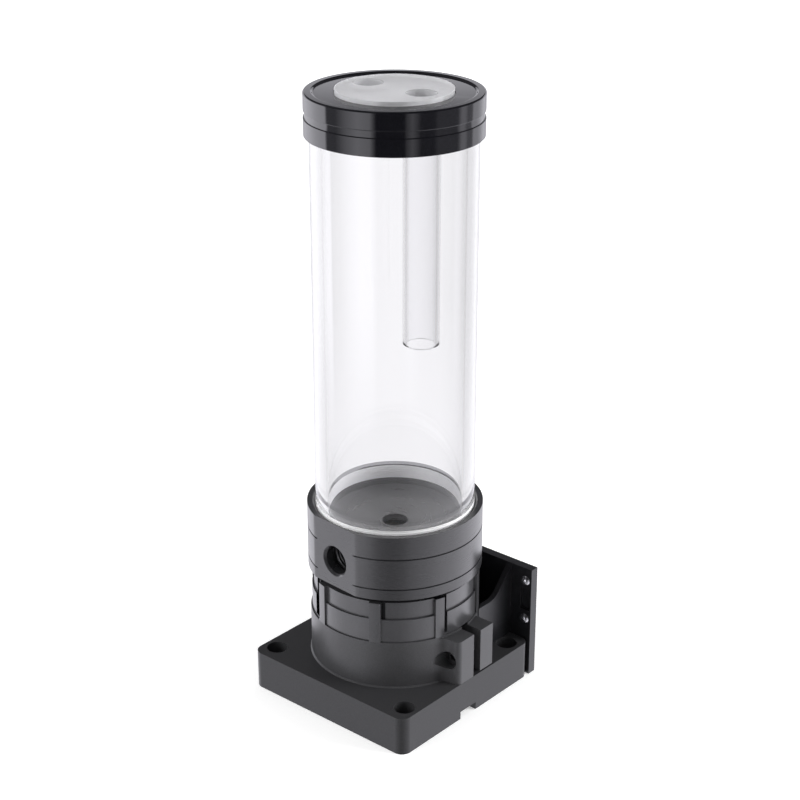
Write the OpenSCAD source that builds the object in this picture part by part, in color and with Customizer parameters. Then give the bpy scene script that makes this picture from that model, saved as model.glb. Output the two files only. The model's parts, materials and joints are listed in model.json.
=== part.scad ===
// Coolant pump reservoir: a clear tube on a pump top, whose pump stands in a split clamp on a square base.
// Origin on the tube's axis at the base's underside. +Z runs up the tube, -Y is the front, +Y the rear plate.

/* [Base] */
// Width of the base, side to side
base_w = 83.4; // [80:0.1:100]
// Depth of the base, front to rear plate
base_d = 82.4; // [80:0.1:100]
// Thickness of the base
base_t = 16.6; // [14:0.1:22]
// Distance from the tube's axis to the base's front face
front_reach = 43.2; // [41:0.1:50]
// Radius of the base's upright corners
corner_r = 4.4; // [1:0.1:8]
// Diameter of the well under the pump
well_d = 48; // [30:0.5:52]
// Through hole at each corner
corner_hole_d = 4.5; // [3:0.1:5.5]
// Counterbore at each corner hole
corner_bore_d = 8.8; // [7:0.1:10]
// Depth of the corner counterbores
corner_bore_depth = 11; // [4:0.5:12]
// Distance of the corner holes from the base's sides
hole_inset_x = 6.3; // [6:0.1:8]
// Distance of the corner holes from the base's front and rear faces
hole_inset_y = 8.1; // [6:0.1:10]
// Width of the cable notch in the right side
notch_w = 9.8; // [4:0.1:12]
// Height of the cable notch
notch_h = 3.3; // [2:0.1:6]
// Distance of the notch's middle in front of the axis
notch_offset = 2.1; // [0:0.1:6]

/* [Clamp tower] */
// Wall of the clamp tower round the housing's sleeve
tower_wall = 4.15; // [3.4:0.05:6]
// Height of the tower above the base
tower_h = 20.8; // [18:0.1:30]
// Bevel round the tower's foot
foot_bevel = 0.6; // [0.2:0.1:1.5]
// Step from the tower's top down to the clamp ears
ear_step = 0.9; // [0:0.1:3]
// Thickness of the front ear
ear_t = 10; // [8:0.1:12]
// Rounding of the front ear's outer corner
ear_round = 2.5; // [0.5:0.1:4]
// Thickness of the free jaw's ear
jaw_t = 8; // [6.6:0.1:10]
// Width of the slot between the ears
slot_w = 4.3; // [2:0.1:6]
// Distance of the slot's front wall behind the axis
slot_offset = 1; // [0:0.1:2]
// Radius of the blend between the tower and the front ear
blend_r = 5; // [2:0.1:5]
// Gap under the free jaw
jaw_gap = 0.8; // [0.4:0.1:1.5]
// Angle that the gap runs round the tower
jaw_sweep = 75; // [40:1:90]
// Bite of the tower screws into the tower
tower_bite = 8; // [5:0.5:12]

/* [Clamp screw] */
// Diameter of the clamp screw
clamp_d = 4; // [3:0.1:5]
// Diameter of the clamp screw's head
clamp_head_d = 7; // [6:0.1:8]
// Height of the clamp screw's head
clamp_head_h = 2.8; // [2:0.1:4]
// Counterbore for the head in the front ear
clamp_bore_d = 8; // [7.8:0.1:9]
// Wall between the counterbore and the slot
clamp_seat_t = 3.2; // [2:0.1:5]
// Height of the clamp screw above the base
clamp_rise = 10.3; // [8:0.1:12]
// Washer thickness
washer_t = 0.8; // [0.5:0.1:1.2]
// Width across the flats of the clamp nut
nut_w = 7; // [5.5:0.1:8]
// Thickness of the clamp nut
nut_t = 3.2; // [2.4:0.1:4]

/* [Rear bracket] */
// Thickness of the rear plate
plate_t = 4; // [3:0.1:6]
// Height of the rear plate
plate_h = 50.1; // [45:0.1:70]
// Thickness of each gusset
gusset_t = 2.4; // [1.6:0.1:6]
// Distance of each gusset's middle from the base's side
gusset_inset = 11.7; // [9:0.1:14]
// Height of the plate above the gussets' sloping edges
gusset_step = 0.4; // [0.2:0.1:4]
// Distance that the gussets' slopes reach out from the plate
gusset_run = 11.3; // [6:0.1:14]
// Radius of the hollow at the foot of the gussets' slopes
gusset_hollow = 8; // [2:0.5:12]
// Height of the lower side screws above the underside
side_screw_low = 26.2; // [22:0.1:30]
// Distance from the lower to the upper side screws
side_screw_pitch = 18.1; // [14:0.1:24]
// Distance of the side screws from the plate's edges
side_screw_inset = 3.2; // [3:0.1:6]
// Head diameter of the side screws
side_head_d = 4.6; // [4:0.1:5.6]
// Head height of the side screws
side_head_h = 1.5; // [1:0.1:2]
// Shank diameter of the side screws
side_screw_d = 2.5; // [2:0.1:3]
// Depth of the side recess between two screws
recess_depth = 1.5; // [0.5:0.1:2]

/* [Small screws] */
// Shank diameter of the tower and bracket screws
small_d = 3; // [2.5:0.1:3.5]
// Head diameter of the tower and bracket screws
small_head_d = 5.5; // [5:0.1:6]
// Head height of the tower screws
small_head_h = 3; // [2:0.1:3.5]
// Length of the bracket screws inside the base
bracket_bite = 9; // [6:0.5:10]

/* [Pump housing] */
// Wall from the sleeve's outside to the ribs' outside
rib_wall = 4.3; // [3.8:0.1:5]
// Height of the ribbed ring
ring_h = 18.7; // [16:0.1:26]
// Number of ribs
rib_count = 8; // [4:4:12]
// Width of each rib
rib_w = 4.8; // [3:0.1:6]
// Depth of the lower band behind the ribs
band_depth = 0.7; // [0.3:0.1:1]
// Depth of the upper band behind the ribs
upper_band_depth = 1.5; // [1.1:0.1:1.8]
// Height of the lower band
lower_band_h = 10.2; // [8:0.1:13]
// Turn of the first rib
rib_turn = -62.5; // [-90:0.1:0]
// Width of the upright slots
vent_w = 2; // [1:0.1:2.5]
// Depth of the upright slots
vent_depth = 3.6; // [1.5:0.1:3.6]
// Angle of the slots from the first rib
vent_angle = 49.5; // [49:0.1:51]
// Wall of the sleeve that stands in the clamp
sleeve_wall = 3.4; // [2.5:0.1:4]
// Gap seen between the ribbed ring and the pump top
seam_gap = 1.3; // [0.4:0.1:1.5]

/* [Pump] */
// Diameter of the motor can
can_d = 54; // [45:0.1:65]
// Wall of the motor can
can_wall = 0.8; // [0.5:0.1:1]
// Height of the motor can
can_h = 36.8; // [34:0.1:38]
// Width of the flange's rest on the housing
flange_lap = 2.3; // [1.5:0.1:2.4]
// Thickness of the pump flange
flange_t = 3; // [2.5:0.1:4]
// Inner diameter of the rotor cup
cup_d = 26.4; // [25:0.1:28]
// Wall of the rotor cup
cup_wall = 1; // [0.8:0.1:1.2]
// Depth of the rotor cup below the flange's top
cup_depth = 22.4; // [21:0.1:23]
// Height of the magnet drum
magnet_h = 15; // [12:0.1:16]
// Diameter of the bearing ball
ball_d = 6.4; // [5:0.1:7]
// Clearance round the impeller in its chamber
chamber_gap = 5; // [2:0.1:7]
// Height of the impeller's blades
blade_h = 4; // [2.5:0.1:4.5]
// Number of impeller blades
blade_count = 6; // [4:1:8]
// Number of motor poles
pole_count = 6; // [6:1:6]

/* [Pump top] */
// Wall of the pump top round the tube
collar_wall = 3.5; // [3:0.1:5]
// Height of the pump top
top_h = 27.9; // [27.5:0.1:34]
// Height of the flange bore in its underside
flange_bore_h = 4; // [3.5:0.1:4.2]
// Width of the pump top's rest on the flange
chamber_wall = 6.9; // [6:0.1:8]
// Height of the impeller chamber
chamber_h = 11.9; // [10:0.1:12]
// Diameter of the inlet eye
eye_d = 10.5; // [8:0.1:12]
// Height of the tube's seat above the pump top's underside
seat_h = 19.1; // [18.8:0.1:20]
// Height of the island inside the tube above the tube's seat
island_h = 3; // [2:0.1:4]
// Flat rim round the dished floor
dish_rim = 2.2; // [1:0.1:8]
// Fall of the dished floor to the inlet eye
dish_fall = 3.2; // [1:0.1:3.2]
// Directions of the two side ports, degrees from the right side
side_ports = [-94.1, 175.9];
// Height of the side ports above the pump top's underside
side_port_h = 11.4; // [11:0.1:11.6]
// Depth of the flats that the side ports open on
flat_depth = 1.9; // [1:0.1:2.5]
// Heights of the fine grooves above the underside
groove_h = [4.7, 18];
// Width of the fine grooves
groove_w = 0.6; // [0.3:0.1:1]
// Depth of the fine grooves
groove_depth = 0.5; // [0.2:0.1:0.8]

/* [Ports] */
// Wall diameter of a threaded port
port_d = 11.45; // [11.4:0.05:11.9]
// Mouth diameter of a side port
mouth_d = 13.4; // [12.5:0.1:14]
// Mouth diameter of a port in the disc
disc_mouth_d = 11.85; // [11.5:0.05:13]
// Depth of a threaded port
port_depth = 9; // [8:0.1:9.5]

/* [Tube] */
// Outer diameter of the tube
tube_d = 65; // [54:0.1:78]
// Wall of the tube
tube_wall = 5; // [4:0.1:5.5]
// Length of the tube
tube_h = 170.4; // [120:0.1:260]

/* [Cap] */
// Wall of the cap ring round the tube
cap_wall = 2; // [1.7:0.1:4]
// Height of the cap ring
cap_h = 16.7; // [14:0.1:20]
// Height of the cap ring above the tube's end
cap_rise = 7.6; // [7:0.1:9]
// Width of the flat groove round the cap ring
cap_groove_w = 2.8; // [1:0.1:3]
// Depth of the flat groove
cap_groove_depth = 0.5; // [0.2:0.1:0.9]
// Height of the groove's middle above the ring's underside
cap_groove_h = 8.3; // [6:0.1:10]
// Width of the raised rim
rim_w = 3.2; // [1.5:0.1:4]
// Height of the raised rim
rim_h = 0.7; // [0.3:0.1:1.2]
// Width of the cap ring's flat face, edge to disc
cap_land = 11.9; // [10:0.1:13]
// Height of the disc above the cap ring
disc_proud = 0.9; // [0.2:0.1:2]
// Thickness of the disc's flange
disc_flange_t = 3; // [2:0.1:3.5]
// Length of the disc's spigot inside the tube
spigot_h = 5.5; // [5:0.1:9]
// Distance of each port's middle from the disc's edge
port_inset = 9.4; // [8.5:0.1:12]

/* [Return tube] */
// Outer diameter of the return tube
return_d = 14; // [12:0.1:14.6]
// Wall of the return tube
return_wall = 1.5; // [1:0.1:2]
// Length of the return tube
return_h = 88.4; // [40:0.1:140]
// Depth of its socket in the disc's underside
return_socket = 4; // [3:0.1:4.2]

/* [Fits] */
// Radial clearance of threads, shafts and turning sleeves
fit = 0.05; // [0.03:0.01:0.08]
// Clearance between curved or loose pieces
gap = 0.3; // [0.2:0.05:0.4]

/* [Hidden] */
$fn = 96;
eps = 0.01;

// Diameters from the motor can and the tube outwards
housing_bore = can_d + 4 * gap;
sleeve_d = housing_bore + 2 * sleeve_wall;
tower_bore_r = sleeve_d / 2 + fit;
tower_r = tower_bore_r + tower_wall;
rib_r = sleeve_d / 2 + rib_wall;
flange_d = housing_bore + 2 * flange_lap;
flange_bore_r = flange_d / 2 + gap;
chamber_d = flange_d - 2 * chamber_wall;
impeller_d = chamber_d - 2 * chamber_gap;
top_r = max(tube_d / 2, flange_bore_r) + collar_wall;
cap_r = tube_d / 2 + cap_wall;
disc_r = cap_r - cap_land;
port_x = disc_r - port_inset;

// Heights up the tube's axis
tower_top = base_t + tower_h;
ring_top = tower_top + ring_h;
top_z = ring_top + seam_gap;
flange_top = top_z + flange_bore_h;
flange_z = flange_top - flange_t;
can_z = flange_z - can_h;
cup_z = flange_top - cup_depth;
side_port_z = top_z + side_port_h;
seat_z = top_z + seat_h;
top_rim_z = top_z + top_h;
tube_top = seat_z + tube_h;
cap_top = tube_top + cap_rise;
cap_z = cap_top - cap_h;
disc_top = cap_top + disc_proud;
spigot_z = tube_top - spigot_h;
return_top = spigot_z + return_socket;

// Plan of the base, clamp and bracket
rear_y = base_d - front_reach;
hole_x = base_w / 2 - hole_inset_x;
hole_ys = [hole_inset_y - front_reach, rear_y - hole_inset_y];
ear_front = slot_offset - ear_t;
jaw_y = slot_offset + slot_w;
jaw_rear = jaw_y + jaw_t;
ear_h = tower_h - ear_step;
clamp_wall = 1.3;
clamp_x = tower_bore_r + clamp_wall + clamp_bore_d / 2;
ear_x = max(base_w / 2, clamp_x + clamp_bore_d / 2 + clamp_wall + fit);
clamp_z = base_t + clamp_rise;
clamp_seat_y = slot_offset - clamp_seat_t;
nut_y = jaw_rear - nut_t;
tower_screw_angles = [115, 205, 262, 330];
tower_screw_r = (tower_bore_r + tower_r) / 2;
tower_screw_depth = base_t / 2;
bracket_screw_xs = [-24, 0, 24];
side_screw_x = base_w / 2 - side_screw_inset;
side_screw_zs = [side_screw_low, side_screw_low + side_screw_pitch];
gusset_x = base_w / 2 - gusset_inset;
gusset_rise = plate_h - gusset_step - tower_top;

// Cup, stator and rotor
cup_r = cup_d / 2;
can_bore_r = can_d / 2 - can_wall;
core_r = can_bore_r - gap;
core_z = cup_z + 1;
core_h = 15;
yoke_w = 3;
pole_w = 6;
pole_angles = [for (i = [0 : pole_count - 1]) (i + 0.5) * 360 / pole_count];
coil_w = 2.2;
coil_over = 2.2;
coil_gap = 1;
ball_z = cup_z + 13;
post_d = 4.4;
magnet_r = cup_r - 0.5;
magnet_top = flange_top - 2.4;
hub_d = 15.9;
impeller_z = flange_top + 1.2;
back_plate_t = 1.6;
shroud_t = 1.2;
blade_t = 1.2;

// Control board, speed dial and cable outlet
board_z = can_z + 9.4;
board_t = 1.6;
capacitor_at = [12, -12];
capacitor_d = 6;
capacitor_h = 3.2;
chip = [12, 6, 2.6];
chip_y = 10;
dial_at = [-11.5, 6.5];
dial_r = 4;
dial_h = 2.2;
dial_stem_r = 2.5;
dial_slot = 1;
grommet_at = [6, -14];
grommet_r = 4;
grommet_lip = 1.4;
lead_d = 5.2;

// Seals, and the pieces they lie between
seal_r = 0.9;
seal_room = 0.1;
pump_seal_r = chamber_d / 2 + 4;
tube_bore_r = tube_d / 2 - tube_wall;
island_r = tube_bore_r - gap;
tube_seal_r = island_r - seal_r + 0.2;
flange_disc_r = tube_d / 2 - 1.5;
lip_z = tube_top + disc_flange_t + gap;
port_hole_r = 4.2;
disc_hole_r = 4.5;
edge = 0.5;

// ---------------------------------------------------------------- shared shapes

// Upright plate outline with four round corners, extruded; [x0, y0] is its front left corner
module round_plate(x0, y0, w, d, h, r) {
    translate([x0 + r, y0, 0]) cube([w - 2 * r, d, h]);
    translate([x0, y0 + r, 0]) cube([w, d - 2 * r, h]);
    for (x = [x0 + r, x0 + w - r], y = [y0 + r, y0 + d - r])
        translate([x, y, 0]) cylinder(r = r, h = h);
}

// Ring between two radii
module ring(r_in, r_out, h) {
    difference() {
        cylinder(r = r_out, h = h);
        translate([0, 0, -eps]) cylinder(r = r_in, h = h + 2 * eps);
    }
}

// Flat ring outline
module ring_outline(r_in, r_out) {
    difference() {
        circle(r = r_out);
        circle(r = r_in);
    }
}

// Round section ring, such as an O-ring or the groove it lies in
module o_ring(r, section) {
    rotate_extrude() translate([r, 0]) circle(r = section, $fn = 32);
}

// Places its children at each angle round the axis, at radius r
module around(angles, r) {
    for (a = angles) rotate([0, 0, a]) translate([r, 0, 0]) children();
}

// Points its children, drawn along +Z, out along +Y from y = 0
module along_y() {
    rotate([-90, 0, 0]) children();
}

// Threaded port drawn along +Z, mouth at z = 0 and body below it
module port_cut(mouth) {
    bevel = (mouth - port_d) / 2;
    translate([0, 0, -port_depth]) cylinder(d = port_d, h = port_depth + 1);
    translate([0, 0, -bevel]) cylinder(d1 = port_d, d2 = mouth + 2 * eps, h = bevel + eps);
}

// ---------------------------------------------------------------- base and clamp

module base_plate() {
    color("#2e2d32") difference() {
        round_plate(-base_w / 2, -front_reach, base_w, base_d, base_t, corner_r);
        translate([0, 0, -1]) cylinder(d = well_d, h = base_t + 2);
        for (x = [-hole_x, hole_x], y = hole_ys) translate([x, y, 0]) {
            translate([0, 0, -1]) cylinder(d = corner_hole_d, h = base_t + 2);
            translate([0, 0, base_t - corner_bore_depth]) cylinder(d = corner_bore_d, h = base_t);
        }
        translate([0, -notch_offset - notch_w / 2, -1]) cube([base_w, notch_w, notch_h + 1]);
        around(tower_screw_angles, tower_screw_r) {
            translate([0, 0, -1]) cylinder(r = small_d / 2 + fit, h = base_t + 2);
            translate([0, 0, -1]) cylinder(r = small_head_d / 2 + gap, h = tower_screw_depth + 1);
        }
        for (x = bracket_screw_xs) translate([x, rear_y - bracket_bite - gap, base_t / 2])
            along_y() cylinder(r = small_d / 2 + fit, h = bracket_bite + 1);
    }
}

// Front ear with its hollow blend into the tower's wall
module fixed_ear() {
    blend_y = ear_front - blend_r;
    blend_x = sqrt(pow(tower_r + blend_r, 2) - pow(blend_y, 2));
    touch = tower_r / (tower_r + blend_r);
    linear_extrude(ear_h) {
        translate([tower_bore_r, ear_front]) square([ear_x - ear_round - tower_bore_r, ear_t]);
        translate([tower_bore_r, ear_front + ear_round]) square([ear_x - tower_bore_r, ear_t - ear_round]);
        translate([ear_x - ear_round, ear_front + ear_round]) circle(r = ear_round);
        difference() {
            polygon([
                [tower_bore_r, ear_front + 1], [blend_x, ear_front + 1], [blend_x, blend_y],
                [blend_x, blend_y] * touch, [blend_x, blend_y] * (touch - 0.04)
            ]);
            translate([blend_x, blend_y]) circle(r = blend_r);
        }
    }
}

module clamp_tower() {
    color("#454545") translate([0, 0, base_t]) difference() {
        union() {
            cylinder(r = tower_r, h = tower_h);
            cylinder(r1 = tower_r + foot_bevel, r2 = tower_r, h = foot_bevel);
            fixed_ear();
            translate([tower_bore_r, jaw_y, 0]) cube([ear_x - tower_bore_r, jaw_t, ear_h]);
        }
        translate([0, 0, -1]) cylinder(r = tower_bore_r, h = tower_h + 2);
        translate([tower_bore_r / 2, slot_offset, -1]) cube([base_w, slot_w, tower_h + 2]);
        rotate([0, 0, asin(slot_offset / tower_r) + 1]) rotate_extrude(angle = jaw_sweep)
            translate([tower_bore_r - 2, -1]) square([ear_x, jaw_gap + 1]);
        translate([clamp_x, 0, clamp_rise]) {
            translate([0, -tower_r, 0]) along_y() cylinder(d = clamp_bore_d, h = clamp_seat_y + tower_r);
            translate([0, -tower_r, 0]) along_y() cylinder(r = clamp_d / 2 + gap, h = 2 * tower_r);
            translate([0, nut_y, 0]) along_y() cylinder(d = nut_w / cos(30) + gap / 2, h = ear_t, $fn = 6);
        }
        around(tower_screw_angles, tower_screw_r)
            translate([0, 0, -1]) cylinder(r = small_d / 2 + fit, h = tower_bite + gap + 1);
    }
}

module tower_screws() {
    color("#9a9a9e") around(tower_screw_angles, tower_screw_r) translate([0, 0, tower_screw_depth]) {
        difference() {
            translate([0, 0, -small_head_h]) cylinder(d = small_head_d, h = small_head_h);
            translate([0, 0, -small_head_h - eps]) cylinder(d = small_head_d / 2, h = 1.5, $fn = 6);
        }
        cylinder(d = small_d, h = base_t - tower_screw_depth + tower_bite);
    }
}

module clamp_screw() {
    head_y = clamp_seat_y - washer_t;
    color("#2a2a2c") translate([clamp_x, 0, clamp_z]) {
        difference() {
            translate([0, head_y - clamp_head_h, 0]) along_y() cylinder(d = clamp_head_d, h = clamp_head_h);
            translate([0, head_y - clamp_head_h - eps, 0]) along_y() cylinder(d = 3.5, h = 1.8, $fn = 6);
        }
        translate([0, head_y, 0]) along_y() cylinder(d = clamp_d, h = jaw_rear - head_y - gap);
    }
}

module clamp_washer() {
    color("#8d8d90") translate([clamp_x, clamp_seat_y - washer_t, clamp_z]) along_y()
        ring(clamp_d / 2 + fit, clamp_bore_d / 2 - 0.2, washer_t);
}

module clamp_nut() {
    color("#8d8d90") translate([clamp_x, nut_y, clamp_z]) along_y() difference() {
        cylinder(d = nut_w / cos(30), h = nut_t, $fn = 6);
        translate([0, 0, -1]) cylinder(r = clamp_d / 2 + fit, h = nut_t + 2);
    }
}

// ---------------------------------------------------------------- rear bracket

// Gusset outline, drawn with x along the depth and y up
module gusset_outline() {
    slope = atan(gusset_rise / gusset_run);
    lead = gusset_hollow * tan(slope / 2);
    foot = [rear_y - gusset_run, tower_top];
    difference() {
        polygon([
            [0, 0], [rear_y, 0], [rear_y, tower_top + gusset_rise],
            foot + lead * [cos(slope), sin(slope)], foot - [lead, 0], [0, tower_top]
        ]);
        translate(foot + [-lead, gusset_hollow]) circle(r = gusset_hollow);
    }
}

module gusset() {
    difference() {
        translate([-gusset_t / 2, 0, 0]) rotate([90, 0, 90]) linear_extrude(gusset_t) gusset_outline();
        translate([-base_w / 2, -1, -1]) cube([base_w, rear_y + 2, base_t + 1]);
    }
}

module rear_bracket() {
    color("#15151a") difference() {
        union() {
            translate([-base_w / 2, rear_y, 0]) cube([base_w, plate_t, plate_h]);
            for (x = [-gusset_x, gusset_x]) translate([x, 0, 0]) gusset();
        }
        translate([0, 0, base_t - 1]) {
            cylinder(r = max(tower_r, rib_r) + gap, h = plate_h);
            cylinder(r = tower_r + foot_bevel + gap, h = 1 + foot_bevel + gap);
        }
        translate([tower_bore_r, -base_w, base_t - 1]) cube([base_w, base_w + jaw_rear + gap, plate_h]);
        for (x = bracket_screw_xs) translate([x, rear_y - 1, base_t / 2]) along_y() {
            cylinder(r = small_d / 2 + gap, h = plate_t + 2);
            translate([0, 0, 1 + plate_t / 2]) cylinder(r = small_head_d / 2 + gap, h = plate_t);
        }
        for (x = [-side_screw_x, side_screw_x]) {
            for (z = side_screw_zs) translate([x, rear_y - 1, z])
                along_y() cylinder(r = side_screw_d / 2 + fit, h = plate_t + 2);
            side_recess(x);
        }
    }
}

// Shallow recess between the two screws of one side
module side_recess(x) {
    margin = side_head_d / 2 + 1.8;
    translate([x - side_head_d / 2, rear_y - 1, side_screw_low + margin])
        cube([side_head_d, recess_depth + 1, side_screw_pitch - 2 * margin]);
}

module bracket_screws() {
    color("#9a9a9e") for (x = bracket_screw_xs) translate([x, rear_y, base_t / 2]) difference() {
        union() {
            translate([0, -bracket_bite, 0]) along_y() cylinder(d = small_d, h = bracket_bite + plate_t / 2);
            translate([0, plate_t / 2, 0]) along_y() cylinder(d = small_head_d, h = plate_t / 2 - gap);
        }
        translate([0, plate_t - 1.3, 0]) along_y() cylinder(d = 2.4, h = 2, $fn = 6);
    }
}

// Domed screws along the plate's side edges
module side_screws() {
    dome_r = (pow(side_head_d / 2, 2) + pow(side_head_h, 2)) / (2 * side_head_h);
    color("#d8d8dc") for (x = [-side_screw_x, side_screw_x], z = side_screw_zs)
        translate([x, rear_y, z]) {
            intersection() {
                translate([0, dome_r - side_head_h, 0]) sphere(r = dome_r);
                translate([0, -side_head_h - 1, 0]) along_y() cylinder(d = side_head_d, h = side_head_h + 1);
            }
            along_y() cylinder(d = side_screw_d, h = plate_t - gap);
        }
}

// ---------------------------------------------------------------- pump housing

module pump_housing() {
    ribs = [for (i = [0 : rib_count - 1]) rib_turn + i * 360 / rib_count];
    vents = [for (half = [0, 180], side = [-1, 1]) rib_turn + half + side * vent_angle];
    color("#3a3a3e") difference() {
        union() {
            translate([0, 0, base_t + gap]) cylinder(d = sleeve_d, h = tower_h);
            translate([0, 0, tower_top]) {
                cylinder(r = rib_r - band_depth, h = lower_band_h);
                cylinder(r = rib_r - upper_band_depth, h = ring_h);
                intersection() {
                    cylinder(r = rib_r, h = ring_h);
                    around(ribs, rib_r - 4) translate([0, -rib_w / 2, 0]) cube([6, rib_w, ring_h]);
                }
            }
            translate([0, 0, ring_top - eps]) cylinder(r = flange_d / 2 - gap, h = flange_z - ring_top + eps);
        }
        cylinder(d = housing_bore, h = flange_z + 1);
        translate([0, 0, tower_top + 1]) around(vents, rib_r - vent_depth)
            translate([0, -vent_w / 2, 0]) cube([vent_depth + 1, vent_w, ring_h]);
    }
}

// ---------------------------------------------------------------- pump motor

module motor_can() {
    color("#a8a8ac") difference() {
        translate([0, 0, can_z]) cylinder(d = can_d, h = can_h);
        translate([0, 0, can_z + can_wall]) cylinder(r = can_bore_r, h = can_h);
        translate([dial_at.x, dial_at.y, can_z - 1]) cylinder(r = dial_stem_r + gap, h = can_wall + 2);
        translate([grommet_at.x, grommet_at.y, can_z - 1]) cylinder(r = grommet_r + fit, h = can_wall + 2);
    }
}

// Flange with the thin cup between coolant and motor, and the post that carries the ball
module pump_body() {
    color("#1d1d20") {
        difference() {
            union() {
                translate([0, 0, flange_z]) cylinder(d = flange_d, h = flange_t);
                translate([0, 0, cup_z]) cylinder(r = cup_r + cup_wall, h = cup_depth - eps);
            }
            translate([0, 0, cup_z + cup_wall]) cylinder(r = cup_r, h = cup_depth);
            translate([0, 0, flange_top - seal_r]) o_ring(pump_seal_r, seal_r + seal_room);
            translate([0, 0, flange_top - seal_r]) ring(pump_seal_r - seal_r, pump_seal_r + seal_r, 2);
        }
        difference() {
            translate([0, 0, cup_z]) cylinder(d = post_d, h = ball_z - cup_z - ball_d / 4);
            translate([0, 0, ball_z]) sphere(r = ball_d / 2 + fit);
        }
    }
}

module stator_core() {
    color("#6f6a64") translate([0, 0, core_z]) linear_extrude(core_h) {
        ring_outline(core_r - yoke_w, core_r);
        difference() {
            for (a = pole_angles) rotate(a) translate([cup_r, -pole_w / 2])
                square([core_r - yoke_w / 2 - cup_r, pole_w]);
            circle(r = cup_r + cup_wall + gap);
        }
    }
}

module stator_coils() {
    inner_r = cup_r + cup_wall + coil_gap;
    depth = core_r - yoke_w - coil_gap - inner_r;
    color("#b5703a") around(pole_angles, inner_r)
        translate([0, 0, core_z + core_h / 2]) difference() {
            translate([depth / 2, 0, 0])
                cube([depth, pole_w + 2 * coil_w + 2 * gap, core_h + 2 * coil_over], center = true);
            cube([4 * depth, pole_w + 2 * gap, core_h + 2 * gap], center = true);
        }
}

module rotor_magnet() {
    color("#4b4b50") translate([0, 0, magnet_top - magnet_h]) ring(hub_d / 2 + fit, magnet_r, magnet_h);
}

// One curved blade: the part of an arc that lies between the inlet eye and the rim
module blade() {
    bend = impeller_d / 3;
    linear_extrude(blade_h) intersection() {
        ring_outline(eye_d / 2, impeller_d / 2 - gap);
        translate([bend * 0.62, -bend * 0.5]) ring_outline(bend - blade_t, bend);
        square(impeller_d);
    }
}

module impeller() {
    color("#e6e4dc") difference() {
        union() {
            translate([0, 0, ball_z]) cylinder(d = hub_d, h = impeller_z - ball_z + eps);
            translate([0, 0, impeller_z]) cylinder(d = impeller_d, h = back_plate_t);
            translate([0, 0, impeller_z + back_plate_t - eps])
                for (i = [0 : blade_count - 1]) rotate([0, 0, i * 360 / blade_count]) blade();
            translate([0, 0, impeller_z + back_plate_t + blade_h - 2 * eps])
                ring(eye_d / 2 + 1, impeller_d / 2, shroud_t);
        }
        translate([0, 0, ball_z]) sphere(r = ball_d / 2 + fit);
    }
}

module bearing_ball() {
    color("#f2f1ea") translate([0, 0, ball_z]) sphere(d = ball_d);
}

module control_board() {
    color("#1f6b3a") translate([0, 0, board_z]) {
        cylinder(r = core_r, h = board_t);
        for (side = [-1, 1]) translate([side * capacitor_at.x, capacitor_at.y, board_t - eps])
            cylinder(d = capacitor_d, h = capacitor_h);
        translate([-chip.x / 2, chip_y, board_t - eps]) cube(chip);
    }
}

// Slotted knob under the can with its stem up to the control board
module speed_dial() {
    color("#b02a24") translate([dial_at.x, dial_at.y, 0]) difference() {
        union() {
            translate([0, 0, can_z - gap - dial_h]) cylinder(r = dial_r, h = dial_h);
            translate([0, 0, can_z - gap - eps]) cylinder(r = dial_stem_r, h = board_z - can_z - eps);
        }
        translate([-dial_r - 1, -dial_slot / 2, can_z - gap - dial_h - 1])
            cube([2 * dial_r + 2, dial_slot, 1 + dial_h / 2]);
    }
}

module cable_grommet() {
    color("#1a1a1a") translate([grommet_at.x, grommet_at.y, can_z - grommet_lip]) difference() {
        union() {
            cylinder(r = grommet_r + grommet_lip, h = grommet_lip);
            cylinder(r = grommet_r, h = grommet_lip + can_wall);
            translate([0, 0, grommet_lip + can_wall]) cylinder(r = grommet_r + 1, h = 1.2);
        }
        translate([0, 0, -1]) cylinder(d = lead_d, h = 10 * grommet_lip);
    }
}

// ---------------------------------------------------------------- pump top

module pump_seal() {
    color("#111111") translate([0, 0, flange_top - seal_r - fit]) o_ring(pump_seal_r, seal_r - fit);
}

module pump_top() {
    flat_r = top_r - flat_depth;
    hole_end = chamber_d / 2 - 2;
    color("#2b2b2f") difference() {
        translate([0, 0, top_z]) cylinder(r = top_r, h = top_h);
        translate([0, 0, top_z - 1]) cylinder(r = flange_bore_r, h = flange_bore_h + 1);
        translate([0, 0, top_z]) cylinder(d = chamber_d, h = flange_bore_h + chamber_h);
        translate([0, 0, top_z]) cylinder(d = eye_d, h = top_h);
        translate([0, 0, seat_z]) ring(island_r, tube_d / 2 + fit, top_h);
        translate([0, 0, seat_z + island_h]) cylinder(r = island_r + 1, h = top_h);
        translate([0, 0, seat_z + island_h - dish_fall])
            cylinder(r1 = eye_d / 2 - eps, r2 = island_r - dish_rim, h = dish_fall + eps);
        translate([0, 0, top_rim_z - edge]) cylinder(r1 = tube_d / 2, r2 = tube_d / 2 + edge + fit, h = edge + eps);
        translate([0, 0, seat_z + island_h / 2]) o_ring(tube_seal_r, seal_r + seal_room);
        for (h = groove_h) translate([0, 0, top_z + h - groove_w / 2])
            ring(top_r - groove_depth, 2 * top_r, groove_w);
        for (a = side_ports) rotate([0, 0, a]) translate([flat_r, 0, side_port_z]) {
            translate([0, -top_r, -top_h]) cube([top_r, 2 * top_r, 2 * top_h]);
            rotate([0, 90, 0]) {
                port_cut(mouth_d);
                translate([0, 0, hole_end - flat_r]) cylinder(r = port_hole_r, h = flat_r - hole_end - 2);
            }
        }
    }
}

module tube_seal() {
    color("#111111") translate([0, 0, seat_z + island_h / 2]) o_ring(tube_seal_r, seal_r - fit);
}

// ---------------------------------------------------------------- tube and cap

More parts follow.
